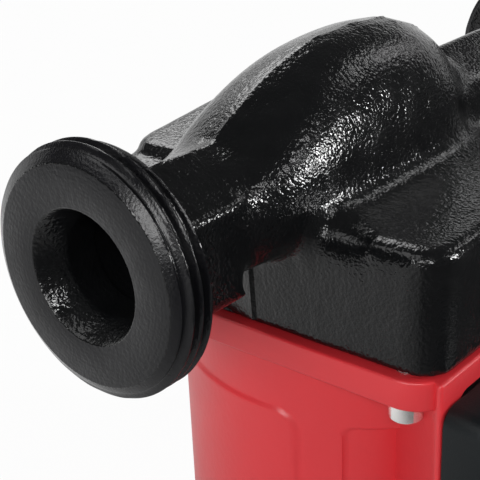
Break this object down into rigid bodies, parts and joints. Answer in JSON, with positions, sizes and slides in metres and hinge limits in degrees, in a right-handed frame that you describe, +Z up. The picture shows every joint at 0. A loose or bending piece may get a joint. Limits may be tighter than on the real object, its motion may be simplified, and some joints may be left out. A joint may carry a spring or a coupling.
{
  "type": "circulator pump",
  "caption": "Wet-rotor heating circulator: black cast-iron in-line casing with threaded union ports on a red motor housing with a side terminal box and speed knob.",
  "frame": {"origin": "on the floor under the centre of the pump, which stands on the rim of its motor", "axes": "+X from the suction port to the delivery port, -Y towards the terminal box, +Z up along the motor axis"},
  "size_m": [0.18, 0.1266, 0.1296],
  "materials": {
    "black_cast_iron": "gloss black paint over a cast skin",
    "red_housing": "satin red paint on a die casting",
    "bright_steel": "bright zinc",
    "stainless": "drawn stainless sheet",
    "lamination": "stacked electrical sheet",
    "copper": "enamelled copper wire",
    "ceramic": "sintered ceramic",
    "carbon": "pressed carbon",
    "rubber": "black rubber",
    "brass": "turned brass",
    "nickel_brass": "nickel-plated brass",
    "end_plate": "bare sheet",
    "black_plastic": "fine-textured moulding",
    "grey_plastic": "moulded can",
    "cream_plastic": "moulding",
    "fibre": "pressed fibre",
    "wheel": "moulded composite",
    "lead_sleeve": "insulating sleeve"
  },
  "bodies": {
    "pump": {"pump_casing": "black_cast_iron", "motor_housing": "red_housing", "housing_screw_1": "bright_steel", "housing_screw_2": "bright_steel", "housing_screw_3": "bright_steel", "housing_screw_4": "bright_steel", "box_screw_1": "bright_steel", "box_screw_2": "bright_steel", "wear_ring": "stainless", "bearing_plate": "stainless", "rotor_can": "stainless", "stator_core": "lamination", "stator_winding": "copper", "front_bearing": "ceramic", "rear_bearing": "ceramic", "can_o_ring": "rubber", "cover_gasket": "rubber", "lead_grommet": "rubber", "earth_screw": "brass", "terminal_screw_1": "brass", "terminal_screw_2": "brass", "terminal_screw_3": "brass", "end_plate": "end_plate", "terminal_box": "black_plastic", "gland_body": "nickel_brass", "gland_locknut": "nickel_brass", "capacitor": "grey_plastic", "speed_switch": "cream_plastic", "terminal_block": "cream_plastic", "casing_gasket": "fibre", "winding_leads": "lead_sleeve"},
    "rotor": {"shaft": "stainless", "rotor_core": "lamination", "impeller": "wheel", "impeller_nut": "brass", "thrust_ring": "carbon", "thrust_holder": "rubber"},
    "cover": {"terminal_cover": "black_plastic", "cover_screw_1": "bright_steel", "cover_screw_2": "bright_steel"},
    "knob": {"speed_knob": "black_plastic"},
    "vent_seal": {"vent_seal": "rubber"},
    "vent_plug": {"vent_plug": "brass"},
    "gland_seal": {"gland_seal": "rubber"},
    "gland_nut": {"gland_nut": "nickel_brass"}
  },
  "joints": [
    {"name": "rotor_spin", "type": "hinge", "parent": "pump", "child": "rotor", "pos_m": [0, 0.0177, 0.06], "axis": [0, 0, 1], "continuous": true},
    {"name": "cover_lift_off", "type": "slide", "parent": "pump", "child": "cover", "axis": [0, -1, 0], "range_m": [0, 0.06]},
    {"name": "speed_select", "type": "hinge", "parent": "pump", "child": "knob", "pos_m": [0.019, -0.0603, 0.049], "axis": [0, -1, 0], "range_deg": [-60, 60]},
    {"name": "vent_seal_lift", "type": "slide", "parent": "pump", "child": "vent_seal", "axis": [0, 0, -1], "range_m": [0, 0.0014]},
    {"name": "vent_plug_turn", "type": "hinge", "parent": "vent_seal", "child": "vent_plug", "pos_m": [0, 0.0177, 0.003], "axis": [0, 0, -1], "range_deg": [0, 360]},
    {"name": "gland_seal_slide", "type": "slide", "parent": "pump", "child": "gland_seal", "axis": [1, 0, 0], "range_m": [0, 0.0031]},
    {"name": "gland_nut_turn", "type": "hinge", "parent": "gland_seal", "child": "gland_nut", "pos_m": [0.05, -0.0363, 0.03], "axis": [1, 0, 0], "range_deg": [0, 720]}
  ],
  "couplings": [
    {"joint": "vent_seal_lift", "follows": "vent_plug_turn", "m_per_rad": 0.00021279},
    {"joint": "gland_seal_slide", "follows": "gland_nut_turn", "m_per_rad": 0.00023873}
  ]
}
